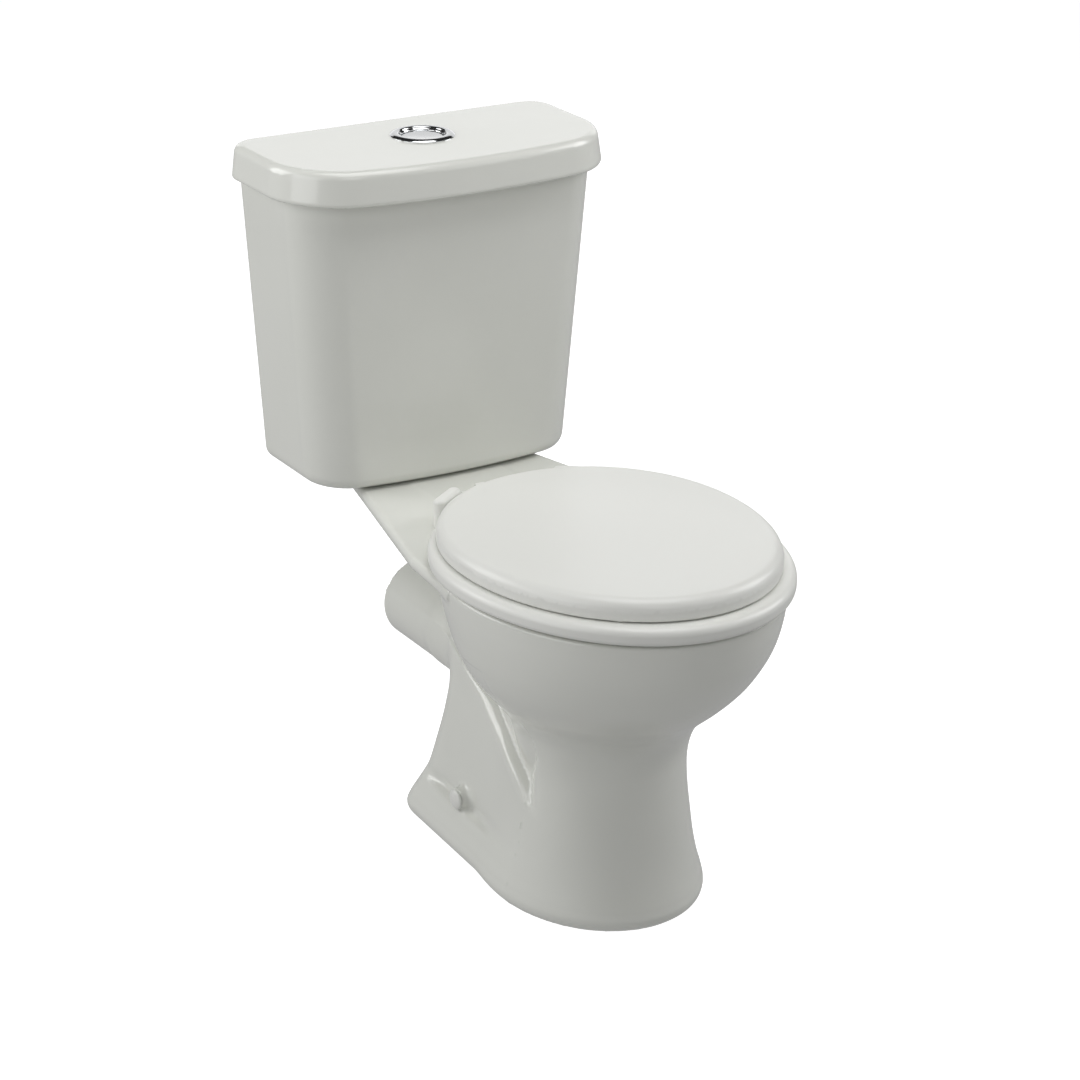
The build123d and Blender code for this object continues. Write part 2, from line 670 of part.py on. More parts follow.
def save_seat():
    save("seat_ring", seat_ring())
    save("seat_cover", seat_cover())
    pads = []
    for side in (-1, 1):
        for x, distance in ((103, 642), (146, 400)):
            pads.append(disc(6, RIM_TOP + 0.2, RING_BOTTOM, side * x, out(distance)))
    save("ring_buffers", Compound(children=pads))
    pads = []
    for side in (-1, 1):
        for x, distance in ((92, 650), (158, 410)):
            pads.append(disc(4.5, RING_TOP + 0.2, COVER_BOTTOM, side * x, out(distance)))
    save("cover_buffers", Compound(children=pads))


# ---------------------------------------------------------------- floor fixings
BRACKET_FACE = 78.0         # x of the upright leg's outer face, just inside the foot's wall
BRACKET_THICK = 4.0
BRACKET_WIDTH = 32.0
BRACKET_HOLE_X = 63.0       # x of the screw hole in the base plate
SCREW_RADIUS = 3.0


def floor_bracket():
    """Angle bracket inside the foot: base plate on the floor, upright leg behind the boss."""
    near, far = BOSS_OUT - BRACKET_WIDTH / 2, BOSS_OUT + BRACKET_WIDTH / 2
    inner_face = BRACKET_FACE - BRACKET_THICK
    base = block(BRACKET_HOLE_X - 12, BRACKET_FACE, far, near, 0, BRACKET_THICK)
    leg = block(inner_face, BRACKET_FACE, far, near, 0, BOSS_HEIGHT + 8)
    bracket = base + leg
    bracket -= bar_x(SCREW_RADIUS + 0.05, inner_face - 2, BRACKET_FACE + 2, out(BOSS_OUT), BOSS_HEIGHT)
    return bracket - disc(3.5, -1, BRACKET_THICK + 1, BRACKET_HOLE_X, out(BOSS_OUT))


def fixing_screw():
    start = BRACKET_FACE - BRACKET_THICK - 4
    screw = bar_x(SCREW_RADIUS, start, BOSS_END - 4, out(BOSS_OUT), BOSS_HEIGHT)
    return screw + bar_x(6.0, BOSS_END - 6, BOSS_END - 2.5, out(BOSS_OUT), BOSS_HEIGHT)


def screw_cap():
    """Push-in cover with a low domed face."""
    cap = bar_x(11.5, BOSS_END, BOSS_END + 5, out(BOSS_OUT), BOSS_HEIGHT)
    cap = fillet(cap.edges().group_by(Axis.X)[-1], 3.5)
    plug = bar_x(7.9, BOSS_END - 2, BOSS_END + 1, out(BOSS_OUT), BOSS_HEIGHT)
    return cap + plug


def save_floor_fixings():
    save("floor_brackets", both_sides(floor_bracket()))
    save("pan_fixing_screws", both_sides(fixing_screw()))
    save("pan_screw_caps", both_sides(screw_cap()))


def main():
    os.makedirs("parts", exist_ok=True)
    save("pan", pan())
    save("cistern", cistern())
    save_coupling_set()
    save_flush_valve()
    save_fill_valve()
    save_lid_parts()
    save_seat()
    save_hinges()
    save_floor_fixings()


if __name__ == "__main__":
    main()
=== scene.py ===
import json
import math

import bmesh
import bpy
import numpy as np
from mathutils import Matrix, Vector


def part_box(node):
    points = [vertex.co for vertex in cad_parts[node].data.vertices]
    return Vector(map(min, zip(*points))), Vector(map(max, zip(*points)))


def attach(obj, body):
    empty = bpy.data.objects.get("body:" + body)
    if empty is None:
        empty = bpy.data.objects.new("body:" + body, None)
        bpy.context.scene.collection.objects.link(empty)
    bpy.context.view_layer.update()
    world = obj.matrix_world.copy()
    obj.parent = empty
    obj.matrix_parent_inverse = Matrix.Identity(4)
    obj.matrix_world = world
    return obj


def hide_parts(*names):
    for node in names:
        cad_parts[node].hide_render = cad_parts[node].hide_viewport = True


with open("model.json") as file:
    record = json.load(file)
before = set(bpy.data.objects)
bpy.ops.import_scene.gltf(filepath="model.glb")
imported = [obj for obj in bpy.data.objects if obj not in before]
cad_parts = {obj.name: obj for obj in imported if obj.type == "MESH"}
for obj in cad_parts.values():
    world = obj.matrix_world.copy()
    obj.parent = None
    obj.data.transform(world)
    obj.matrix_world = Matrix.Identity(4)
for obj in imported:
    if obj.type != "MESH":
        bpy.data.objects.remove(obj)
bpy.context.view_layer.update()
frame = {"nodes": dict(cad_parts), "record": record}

# ---------------------------------------------------------------- places taken from the frame
# Shapes are worked out in millimetres: x to the right, d the distance out from the wall, z up.
MM = 0.001


def node_box(node):
    """Lowest and highest corner of a CAD node in millimetres."""
    low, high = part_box(node)
    return np.array(low) / MM, np.array(high) / MM


TANK_LOW, TANK_HIGH = node_box("cistern")
LID_LOW, LID_HIGH = node_box("cistern_lid")
PAN_LOW, PAN_HIGH = node_box("pan")
RING_LOW, RING_HIGH = node_box("seat_ring")
COVER_LOW, COVER_HIGH = node_box("seat_cover")
BEZEL_LOW, BEZEL_HIGH = node_box("button_bezel")
BUTTON_LOW, BUTTON_HIGH = node_box("flush_button")
CAP_LOW, CAP_HIGH = node_box("pan_screw_caps")
PIN_LOW, PIN_HIGH = node_box("hinge_pins")
BRACKET_LOW, BRACKET_HIGH = node_box("hinge_brackets")

WALL_Y = TANK_HIGH[1]
RIM_TOP = PAN_HIGH[2]
BOWL_HALF = PAN_HIGH[0]
BOWL_FRONT = WALL_Y - PAN_LOW[1] - 1.0
HINGE_D = WALL_Y - (PIN_LOW[1] + PIN_HIGH[1]) / 2
HINGE_Z = (PIN_LOW[2] + PIN_HIGH[2]) / 2
BUTTON_D = WALL_Y - (BEZEL_LOW[1] + BEZEL_HIGH[1]) / 2
BOSS_D = WALL_Y - (CAP_LOW[1] + CAP_HIGH[1]) / 2
BOSS_Z = (CAP_LOW[2] + CAP_HIGH[2]) / 2
BOSS_END = CAP_HIGH[0] - 5
WIDEST_D = 478.6            # widest part of the bowl, seat ring and cover
BOW_RADIUS = 790.0          # front faces of the cistern and lid bow forward on this radius


# ---------------------------------------------------------------- camera
def place_camera():
    """Long lens from above and to the left of the front."""
    azimuth, fall, roll = math.radians(31.48), math.radians(22.07), math.radians(0.64)
    forward = Vector((
        math.sin(azimuth) * math.cos(fall),
        math.cos(azimuth) * math.cos(fall),
        -math.sin(fall),
    ))
    level = Vector((math.cos(azimuth), -math.sin(azimuth), 0))
    upright = level.cross(forward)
    right = level * math.cos(roll) + upright * math.sin(roll)
    up = upright * math.cos(roll) - level * math.sin(roll)
    data = bpy.data.cameras.new("camera")
    data.lens = 103.81
    data.sensor_width = 36.0
    data.clip_end = 20.0
    camera = bpy.data.objects.new("camera", data)
    turn = Matrix((right, up, -forward)).transposed().to_4x4()
    camera.matrix_world = Matrix.Translation(Vector((-1.65061, -2.68552, 1.64334))) @ turn
    bpy.context.scene.collection.objects.link(camera)
    bpy.context.scene.camera = camera


# ---------------------------------------------------------------- surfaces from fields
# A field is a function of x, d and z (arrays, millimetres) that is negative inside a shape.
def join(a, b, radius):
    """Both shapes, blended with a soft hollow of about this radius."""
    mix = np.clip(0.5 + 0.5 * (b - a) / radius, 0, 1)
    return b * (1 - mix) + a * mix - radius * mix * (1 - mix)


def common(a, b, radius):
    """What both shapes hold, with edges rounded."""
    return -join(-a, -b, radius)


def cut(a, b, radius):
    """The first shape without the second."""
    return -join(-a, b, radius)


def oval(x, d, half, rear, middle, front):
    """Egg outline, widest at middle."""
    reach = np.where(d > middle, front - middle, middle - rear)
    size = np.sqrt((x / half) ** 2 + ((d - middle) / reach) ** 2) + 1e-9
    slope = np.sqrt((x / half**2) ** 2 + ((d - middle) / reach**2) ** 2) + 1e-9
    return size * (size - 1) / slope


def box_outline(x, y, half_x, half_y, radius):
    """Rectangle with rounded corners, centred on zero."""
    qx = np.abs(x) - half_x + radius
    qy = np.abs(y) - half_y + radius
    outside = np.sqrt(np.maximum(qx, 0) ** 2 + np.maximum(qy, 0) ** 2)
    return outside + np.minimum(np.maximum(qx, qy), 0) - radius


def raised(outline, z, low, high, low_round, high_round):
    """An outline from height low to high, with rounded edges."""
    middle = (low + high) / 2
    radius = np.where(z > middle, high_round, low_round)
    side = outline + radius
    end = np.abs(z - middle) - (high - low) / 2 + radius
    outside = np.sqrt(np.maximum(side, 0) ** 2 + np.maximum(end, 0) ** 2)
    return outside + np.minimum(np.maximum(side, end), 0) - radius


def bar(px, py, pz, radius, half_length):
    """Round bar along the first direction, centred on zero."""
    return np.maximum(np.sqrt(py**2 + pz**2) - radius, np.abs(px) - half_length)


def smooth_curve(points):
    """Function of height through (height, value) points, with smooth changes of slope."""
    points = sorted(points)
    t = np.array([p[0] for p in points], float)
    v = np.array([p[1] for p in points], float)
    slope = np.gradient(v, t)

    def value(z):
        z = np.clip(z, t[0], t[-1])
        i = np.clip(np.searchsorted(t, z, side="right") - 1, 0, len(t) - 2)
        span = t[i + 1] - t[i]
        u = (z - t[i]) / span
        start = (1 + 2 * u) * (1 - u) ** 2 * v[i] + u * (1 - u) ** 2 * span * slope[i]
        return start + u * u * (3 - 2 * u) * v[i + 1] + u * u * (u - 1) * span * slope[i + 1]

    return value


def columns(levels):
    """One smooth curve for each value that follows the height in a table of levels."""
    return [smooth_curve([(row[0], row[i]) for row in levels]) for i in range(1, len(levels[0]))]


CORNERS = [(i, j, k) for i in (0, 1) for j in (0, 1) for k in (0, 1)]


def surface_cells(field, low, high, step):
    """Points and quads of the surface where the field is zero: one point in each cell it crosses."""
    axes = [np.arange(a - 1.5 * step, b + 2.5 * step, step) for a, b in zip(low, high)]
    x, d, z = np.meshgrid(*axes, indexing="ij")
    values = field(x, d, z)
    inside = values < 0
    shape = [n - 1 for n in values.shape]

    def corner(array, offset):
        return array[tuple(slice(o, o + n) for o, n in zip(offset, shape))]

    count = sum(corner(inside, c).astype(np.int8) for c in CORNERS)
    mixed = (count > 0) & (count < 8)
    number = np.full(shape, -1)
    number[mixed] = np.arange(mixed.sum())
    total = np.zeros((mixed.sum(), 3))
    hits = np.zeros(mixed.sum())
    for first in CORNERS:
        for axis in range(3):
            if first[axis]:
                continue
            second = tuple(1 if i == axis else o for i, o in enumerate(first))
            a, b = corner(values, first)[mixed], corner(values, second)[mixed]
            crosses = (a < 0) != (b < 0)
            place = np.repeat(np.array([first], float), len(a), 0)
            place[:, axis] = a / np.where(crosses, a - b, 1)
            total += place * crosses[:, None]
            hits += crosses
    cells = np.argwhere(mixed)
    points = (cells + total / hits[:, None]) * step + [a[0] for a in axes]
    quads = []
    for axis in range(3):
        one, two = [i for i in range(3) if i != axis]
        near = inside[tuple(slice(0, -1) if i == axis else slice(1, -1) for i in range(3))]
        far = inside[tuple(slice(1, None) if i == axis else slice(1, -1) for i in range(3))]
        spots = np.argwhere(near != far)
        leaving = near[tuple(spots.T)]
        spots[:, one] += 1
        spots[:, two] += 1
        ring = []
        for back_one, back_two in ((1, 1), (0, 1), (0, 0), (1, 0)):
            cell = spots.copy()
            cell[:, one] -= back_one
            cell[:, two] -= back_two
            ring.append(number[tuple(cell.T)])
        ring = np.stack(ring, 1)
        flip = ~leaving if axis == 1 else leaving
        ring[flip] = ring[flip][:, ::-1]
        quads.append(ring)
    return points, np.concatenate(quads)


def gradient(field, points, reach=0.2):
    """Direction in which the field grows fastest, by small differences."""
    parts = []
    for axis in range(3):
        shift = np.zeros(3)
        shift[axis] = reach
        ahead, behind = points + shift, points - shift
        parts.append((field(*ahead.T) - field(*behind.T)) / (2 * reach))
    return np.stack(parts, 1)


def settle(field, points, step):
    """Moves points onto the surface, never by more than a part of a cell."""
    for _ in range(3):
        slope = gradient(field, points)
        move = slope * (field(*points.T) / np.maximum((slope**2).sum(1), 1e-6))[:, None]
        size = np.linalg.norm(move, axis=1)
        points = points - move * np.minimum(1, 0.6 * step / np.maximum(size, 1e-9))[:, None]
    return points


def relax(points, quads):
    """Each point moved half way to the middle of its neighbours, to even the quads."""
    ends = np.concatenate([np.stack([quads[:, i], quads[:, (i + 1) % 4]], 1) for i in range(4)])
    total = np.zeros_like(points)
    count = np.zeros(len(points))
    for a, b in ((0, 1), (1, 0)):
        np.add.at(total, ends[:, a], points[ends[:, b]])
        np.add.at(count, ends[:, a], 1)
    return 0.5 * points + 0.5 * total / count[:, None]


def piece_from_field(name, field, low, high, step, body, material, nodes):
    """Mesh of a field, riding on a body and standing for CAD nodes."""
    points, quads = surface_cells(field, low, high, step)
    for _ in range(2):
        points = settle(field, relax(points, quads), step)
    normals = gradient(field, points)
    normals[:, 1] *= -1
    normals /= np.linalg.norm(normals, axis=1)[:, None]
    places = np.stack([points[:, 0], WALL_Y - points[:, 1], points[:, 2]], 1) * MM
    mesh = bpy.data.meshes.new(name)
    mesh.from_pydata(places.tolist(), [], quads.tolist())
    mesh.polygons.foreach_set("use_smooth", [True] * len(mesh.polygons))
    mesh.normals_split_custom_set_from_vertices(normals.tolist())
    adopt(name, mesh, body, material, nodes)


def adopt(name, mesh, body, material, nodes):
    """Object for a finished mesh, with its material, its body and the nodes it stands for."""
    mesh.materials.append(material)
    piece = bpy.data.objects.new(name, mesh)
    bpy.context.scene.collection.objects.link(piece)
    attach(piece, body)
    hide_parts(*nodes)


# ---------------------------------------------------------------- pan
# Bowl: height, half width, rear, front.
BOWL_LEVELS = [
    (RIM_TOP, BOWL_HALF, 289, BOWL_FRONT + 1),
    (350, 175, 300, 695),
    (325, 170, 312, 687),
    (300, 163, 326, 672),
    (275, 151.5, 340, 653),
    (250, 133, 352, 628),
    (230, 115, 362, 605),
    (212, 101, 368, 586),
    (170, 84, 376, 548),
    (130, 70, 380, 522),
    (92, 58, 386, 504),
]
# Inside of the bowl.
HOLLOW_LEVELS = [
    (366, 164, 306, 682),
    (340, 159, 316, 676),
    (300, 147, 336, 655),
    (275, 136, 350, 638),
    (250, 118, 362, 614),
    (225, 98, 372, 586),
    (180, 76, 388, 545),
    (140, 60, 392, 515),
    (104, 45, 400, 490),
]
# Front column of the pedestal: height, half width, middle, front.
COLUMN_LEVELS = [
    (0, 110, 455, 590),
    (6, 115.5, 453, 597.5),
    (14, 118, 452, 601),
    (24, 116, 454, 598.5),
    (40, 110, 461, 592),
    (60, 103.5, 470, 585.5),
    (100, 95.5, 480, 577),
    (140, 92, 480, 571),
    (180, 92, 480, 570),
    (216, 95, 480, 574),
]
# Side walls behind the column, flaring evenly: height, half width at the back and at the column, rear.
WEB_LEVELS = [
    (0, 94, 108, 201),
    (6, 98.5, 113, 199),
    (14, 101, 116, 199),
    (24, 99.5, 114.5, 203),
    (40, 94.5, 109.5, 211),
    (60, 88.5, 103, 221),
    (100, 80, 95.5, 231),
    (140, 72, 91, 237),
    (180, 62, 86, 234),
    (222, 50, 78, 220),
]
# The same walls without the flare, above the flange that runs round the rear of the foot.
UPRIGHT_LEVELS = [
    (0, 84, 104, 226),
    (50, 83, 101, 226),
    (70, 83, 99, 226),
    (100, 79.5, 95.5, 231),
    (140, 72, 91, 237),
    (180, 62, 86, 234),
    (222, 50, 78, 220),
]
COLUMN_D = 480.0            # side walls end here, inside the column
COLUMN_REAR = 300.0
PAN_WALL = 10.0
OUTLET_Z = 197.0
OUTLET_END_D = 75.0
TRAP_RADIUS = 51.2
SPIGOT_RADIUS = 50.0
SPIGOT_ROOT = 165.0         # the trap narrows to its spigot between these two distances out
TRAP_END = 185.0
TRAP_BORE = 40.0
RECESS_DEPTH = 10.5
RECESS_ROUND = 12.0         # rounding of the ridge
BESIDE_ROUND = 2.0          # rounding of the recess's edges close to the bowl and the trap
RECESS_FRONT = 484.0        # distance out of the recess's front end, on the wall's face
RECESS_TOP = 300.0
LEDGE_SLOPE = 0.35          # rise of the ledge under the recess for each millimetre inwards
# Ridge under the recess on each side: distance out, height.
RIDGE = [(190, 222), (254, 213), (314, 198), (364, 181), (400, 164), (450, 139), (480, 122)]
FLANGE_TOP = 56.0           # crease between the side walls and the flared foot
CREASE_DEPTH = 2.6          # soft groove that marks the crease, and its height above it and half width
CREASE_RISE = 4.0
CREASE_HALF_WIDTH = 8.0


def stacked_oval(levels):
    """Field of a body whose every level is an oval: half width, rear and front follow the height."""
    half, rear, front = columns(levels)

    def field(x, d, z, inset=0.0):
        sink = np.clip((250 - z) / 158, 0, 1)
        middle = WIDEST_D + (445 - WIDEST_D) * sink
        return oval(x, d, half(z) - inset, rear(z) + inset, middle, front(z) - inset)

    return field


bowl_side = stacked_oval(BOWL_LEVELS)
hollow_side = stacked_oval(HOLLOW_LEVELS)
column_half, column_middle, column_front = columns(COLUMN_LEVELS)
web_shape = columns(WEB_LEVELS)
upright_shape = columns(UPRIGHT_LEVELS)
ridge_height = smooth_curve(RIDGE)


def column(x, d, z, inset=0.0):
    """Front column, flaring to the foot."""
    middle = column_middle(z)
    return oval(x, d, column_half(z) - inset, COLUMN_REAR + inset, middle, column_front(z) - inset)


def wedge(x, d, z, shape, inset, corner=34):
    """Plan that widens evenly from the rounded rear corners to the column."""
    rear_half, front_half, rear = [curve(z) for curve in shape]
    rear = rear + inset
    half = rear_half + (front_half - rear_half) * (d - rear) / (COLUMN_D - rear) - inset
    side = np.abs(x) - half + corner
    back = rear - d + corner
    outside = np.sqrt(np.maximum(side, 0) ** 2 + np.maximum(back, 0) ** 2)
    return outside + np.minimum(np.maximum(side, back), 0) - corner


def fade(value, start, end):
    """Smooth change from 0 at start to 1 at end."""
    share = np.clip((value - start) / (end - start), 0, 1)
    return share * share * (3 - 2 * share)


def walls(x, d, z, inset=0.0):
    """Side walls with a flange along each side of the foot."""
    flared = wedge(x, d, z, web_shape, inset)
    upright = wedge(x, d, z, upright_shape, inset)
    flange = common(flared, z - FLANGE_TOP, 7)
    stepped = join(upright, flange, 5)
    share = fade(d, 225, 290) * (1 - fade(d, 400, 475))
    groove = CREASE_DEPTH * np.exp(-(((z - FLANGE_TOP - CREASE_RISE) / CREASE_HALF_WIDTH) ** 2))
    return flared + (stepped - flared + groove) * share


def recess(x, d, z, inset=0.0):
    """Shallow three-cornered hollow in each side wall, above the slanting ridge."""
    floor = wedge(x, d, z, web_shape, inset + RECESS_DEPTH * fade(d, 225, 335), 26)
    depth = np.clip(-wedge(x, d, z, web_shape, inset), -6, 1.5 * RECESS_DEPTH)
    lower = (ridge_height(d) - inset - z + LEDGE_SLOPE * depth) / math.hypot(1, LEDGE_SLOPE)
    front = 0.5 * (d - RECESS_FRONT) + 0.87 * depth
    return np.maximum(common(common(-floor, lower, 2), front, 6), z - RECESS_TOP)


def pedestal(x, d, z, inset=0.0):
    """Column and side walls, before the recesses are cut."""
    sides = np.maximum(walls(x, d, z, inset), d - COLUMN_D + 12)
    stand = join(column(x, d, z, inset), sides, 5)
    return np.maximum(stand, z - 225)


def waste(x, d, z, radius, end):
    """Trap: out of the sump, up over the weir, then level to the back."""
    corners = [(470, 104), (398, 104), (312, OUTLET_Z), (end, OUTLET_Z)]
    result = None
    for (d0, z0), (d1, z1) in zip(corners, corners[1:]):
        run = np.array([d1 - d0, z1 - z0])
        along = np.clip(((d - d0) * run[0] + (z - z0) * run[1]) / (run @ run), 0, 1)
        gap_d, gap_z = d - d0 - along * run[0], z - z0 - along * run[1]
        pipe = np.sqrt(x**2 + gap_d**2 + gap_z**2) - radius
        result = pipe if result is None else join(result, pipe, 30)
    return np.maximum(result, end - d)


def shelf(x, d, z):
    """Plate that carries the cistern and the seat hinges, widening quickly and then slowly."""
    slope = 66 / 276
    half = 101 + slope * (np.minimum(d, 352) - 76) + 9 / 98 * np.maximum(d - 352, 0)
    side = (np.abs(x) - half) / math.hypot(1, slope)
    corner = 28
    qx, qy = side + corner, 30 - d + corner
    outside = np.sqrt(np.maximum(qx, 0) ** 2 + np.maximum(qy, 0) ** 2)
    plan = outside + np.minimum(np.maximum(qx, qy), 0) - corner
    plan = np.maximum(plan, d - 450)
    return raised(plan, z, RIM_TOP - 14, RIM_TOP, 6, 6)


def pan_field(x, d, z):
    """The fired clay pan, outside and inside."""
    bowl = common(bowl_side(x, d, z), z - RIM_TOP, 5)
    bowl = np.maximum(bowl, 92 - z)
    trap_radius = SPIGOT_RADIUS + (TRAP_RADIUS - SPIGOT_RADIUS) * fade(d, SPIGOT_ROOT, TRAP_END)
    trap = waste(x, d, z, trap_radius, OUTLET_END_D)
    stand = pedestal(x, d, z)
    china = join(bowl, stand, 26)
    china = join(china, trap, 20)
    beside = np.minimum(bowl, trap)
    edge_round = BESIDE_ROUND + (RECESS_ROUND - BESIDE_ROUND) * fade(beside, 3, 25)
    china = cut(china, common(recess(x, d, z), -beside, 3), edge_round)
    china = join(china, shelf(x, d, z), 7)
    duct = raised(box_outline(x, d - 183, 57, 147, 12), z, 322, RIM_TOP - 6, 10, 1)
    china = join(china, duct, 12)
    boss = bar(np.abs(x) - BOSS_END + 20, d - BOSS_D, z - BOSS_Z, 13, 20)
    china = join(china, boss, 7)
    china = np.maximum(china, -z)
    # Hollow pedestal, open below.
    room = np.maximum(pedestal(x, d, z, PAN_WALL), -recess(x, d, z, PAN_WALL))
    room = np.maximum(room, z - 214)
    room = np.maximum(room, -bowl)
    room = np.maximum(room, -trap)
    china = np.maximum(china, -room)
    # Inside of the bowl, with the flushing rim's lip hanging into it.
    opening = oval(x, d, 132, 345, WIDEST_D, 652)
    hollow = np.maximum(hollow_side(x, d, z), z - 366)
    hollow = np.maximum(hollow, 100 - z)
    lip = raised(np.maximum(opening - 8, -opening), z, RIM_TOP - 38, RIM_TOP, 3, 3)
    hollow = np.maximum(hollow, -lip)
    mouth = np.maximum(opening, 330 - z)
    china = cut(china, np.minimum(hollow, mouth), 4)
    china = np.maximum(china, -waste(x, d, z, TRAP_BORE, OUTLET_END_D - 5))
    # Way for the flush water, and the bolt holes.
    drop = np.maximum(np.sqrt(x**2 + (d - BUTTON_D) ** 2) - 39, 336 - z)
    seat = np.maximum(np.sqrt(x**2 + (d - BUTTON_D) ** 2) - 50, RIM_TOP - 17 - z)
    way = raised(box_outline(x, d - 184, 34, 134, 8), z, 336, RIM_TOP - 16, 2, 2)
    china = np.maximum(china, -np.minimum(np.minimum(drop, seat), way))
    for hole_x, hole_d, radius in ((75, BUTTON_D, 5.5), (77.5, HINGE_D + 15, 5.0)):
        hole = np.sqrt((np.abs(x) - hole_x) ** 2 + (d - hole_d) ** 2) - radius
        china = np.maximum(china, -np.maximum(hole, 340 - z))
    return china


def make_pan(material):
    low = (PAN_LOW[0], WALL_Y - PAN_HIGH[1], 0)
    high = (PAN_HIGH[0], WALL_Y - PAN_LOW[1], RIM_TOP)
    piece_from_field("pan_china", pan_field, low, high, 3.6, "pan_and_cistern",
                     material, ["pan"])


# ---------------------------------------------------------------- cistern and lid
def tank_outline(x, d, half, rear, front, front_corner, back_corner):
    """Flat back, straight sides, rounded corners and a bowed front."""
    bowed = d + x**2 / (2 * BOW_RADIUS)
    middle = (rear + front) / 2
    depth = (front - rear) / 2
    corner = np.where(bowed > middle, front_corner, back_corner)
    straight = np.where(bowed > middle, bowed, d)
    return box_outline(x, straight - middle, half, depth, corner)


def cistern_field(x, d, z):
    """Tapering tank with a rounded bottom edge, open at the top."""
    low, high = TANK_LOW[2], TANK_HIGH[2]
    share = (z - low) / (high - low)
    half = 165.9 + 26.0 * share
    front = 169 + 16.3 * share
    body = raised(tank_outline(x, d, half, 0, front, 48, 15), z, low, high, 14, 3)
    inner = tank_outline(x, d, half - 9, 9, front - 9, 40, 8)
    inner = raised(inner, z, low + 12, high + 60, 10, 1)
    tank = cut(body, inner, 3)
    outlet = np.sqrt(x**2 + (d - BUTTON_D) ** 2) - 32.5
    inlet = np.sqrt((x - 128) ** 2 + (d - BUTTON_D) ** 2) - 12
    holes = np.maximum(np.minimum(outlet, inlet), z - 400)
    screws = bar(d - 5, np.abs(x) - 110, z - 640, 3.5, 12)
    return np.maximum(tank, -np.minimum(holes, screws))


def lid_field(x, d, z):
    """Lid whose skirt flares a little downward, with a rolled top edge and lower lip."""
    low, high = LID_LOW[2], LID_HIGH[2]
    share = np.clip((z - low) / (high - low), 0, 1)
    half = LID_HIGH[0] - 4.6 * share
    front = WALL_Y - LID_LOW[1] - 5 * share
    body = raised(tank_outline(x, d, half, 0, front, 73, 30), z, low, high, 4, 8.5)
    under = raised(tank_outline(x, d, 193.4, -30, 188.2, 52, 8), z, low - 30, 737.4, 1, 6)
    pocket = raised(tank_outline(x, d, 174, 18, 166, 36, 8), z, 700, 747, 1, 5)
    rib = np.maximum(tank_outline(x, d, 178, 14, 170, 38, 8), np.abs(z - 736) - 5)
    lid = cut(body, under, 2)
    lid = np.maximum(join(lid, rib, 2), -pocket)
    hole = np.sqrt(x**2 + (d - BUTTON_D) ** 2) - 27
    return np.maximum(lid, -np.maximum(hole, 735 - z))


def make_cistern(material):
    low = (TANK_LOW[0], 0, TANK_LOW[2])
    high = (TANK_HIGH[0], WALL_Y - TANK_LOW[1], TANK_HIGH[2])
    piece_from_field("cistern_china", cistern_field, low, high, 4.2, "pan_and_cistern",
                     material, ["cistern"])
    low = (LID_LOW[0], 0, LID_LOW[2])
    high = (LID_HIGH[0], WALL_Y - LID_LOW[1], LID_HIGH[2])
    piece_from_field("lid_china", lid_field, low, high, 2.6, "cistern_lid",
                     material, ["cistern_lid"])


# ---------------------------------------------------------------- seat
def hinge_notch(x, d, z):
    """Room round the hinge brackets, swept about the hinge line."""
    sweep = np.sqrt((d - HINGE_D) ** 2 + (z - HINGE_Z) ** 2) - 38.5
    behind = d - HINGE_D
    band = np.abs(np.abs(x) - 87.5) - 30.5
    return common(np.minimum(sweep, behind), band, 6)


def knuckle(x, d, z, middle_x, half_width, reach, low, high):
    """Hinge barrel and the arm that joins it to a seat part."""
    across = np.abs(x) - middle_x
    barrel = bar(across, d - HINGE_D, z - HINGE_Z, 7, half_width)
    riser = box_outline(d - HINGE_D, z - (HINGE_Z + high) / 2, 7, (high - HINGE_Z) / 2, 1)
    arm = box_outline(d - (reach + HINGE_D) / 2, z - (low + high) / 2,
                      (reach - HINGE_D) / 2, (high - low) / 2, 1)
    solid = np.minimum(barrel, np.maximum(np.minimum(riser, arm), np.abs(across) - half_width))
    bore = np.sqrt((d - HINGE_D) ** 2 + (z - HINGE_Z) ** 2) - 3.06
    return solid, np.maximum(bore, np.abs(across) - half_width - 1)


def ring_field(x, d, z):
    """Oval seat ring with a full rounded outer edge."""
    low, high = 382.0, 400.9
    front = WALL_Y - RING_LOW[1]
    ring = raised(oval(x, d, RING_HIGH[0], 278, WIDEST_D, front), z, low, high, 5.5, 8.5)
    opening = oval(x, d, 112, 372, WIDEST_D, 622)
    ring = cut(ring, opening, 9)
    ring = cut(ring, hinge_notch(x, d, z), 3)
    solid, bore = knuckle(x, d, z, 48, 7, 292, HINGE_Z - 5, high - 0.5)
    return np.maximum(join(ring, solid, 2), -bore)


COVER_BACK_D = 288.0
COVER_FULLNESS = 2.1


def cover_outline(x, d, inset):
    """Oval in front, fuller behind, with a nearly straight back edge."""
    half = 172.8 - inset
    front = 691.0 - inset
    back = COVER_BACK_D + inset
    nose = oval(x, d, half, back, WIDEST_D, front)
    u = np.abs(x) / half + 1e-9
    v = np.maximum(WIDEST_D - d, 0) / (WIDEST_D - back) + 1e-9
    power = COVER_FULLNESS
    size = (u**power + v**power) ** (1 / power)
    slope_u = (u / size) ** (power - 1) / half
    slope_v = (v / size) ** (power - 1) / (WIDEST_D - back)
    full = (size - 1) / (np.sqrt(slope_u**2 + slope_v**2) + 1e-9)
    return np.where(d > WIDEST_D, nose, full)


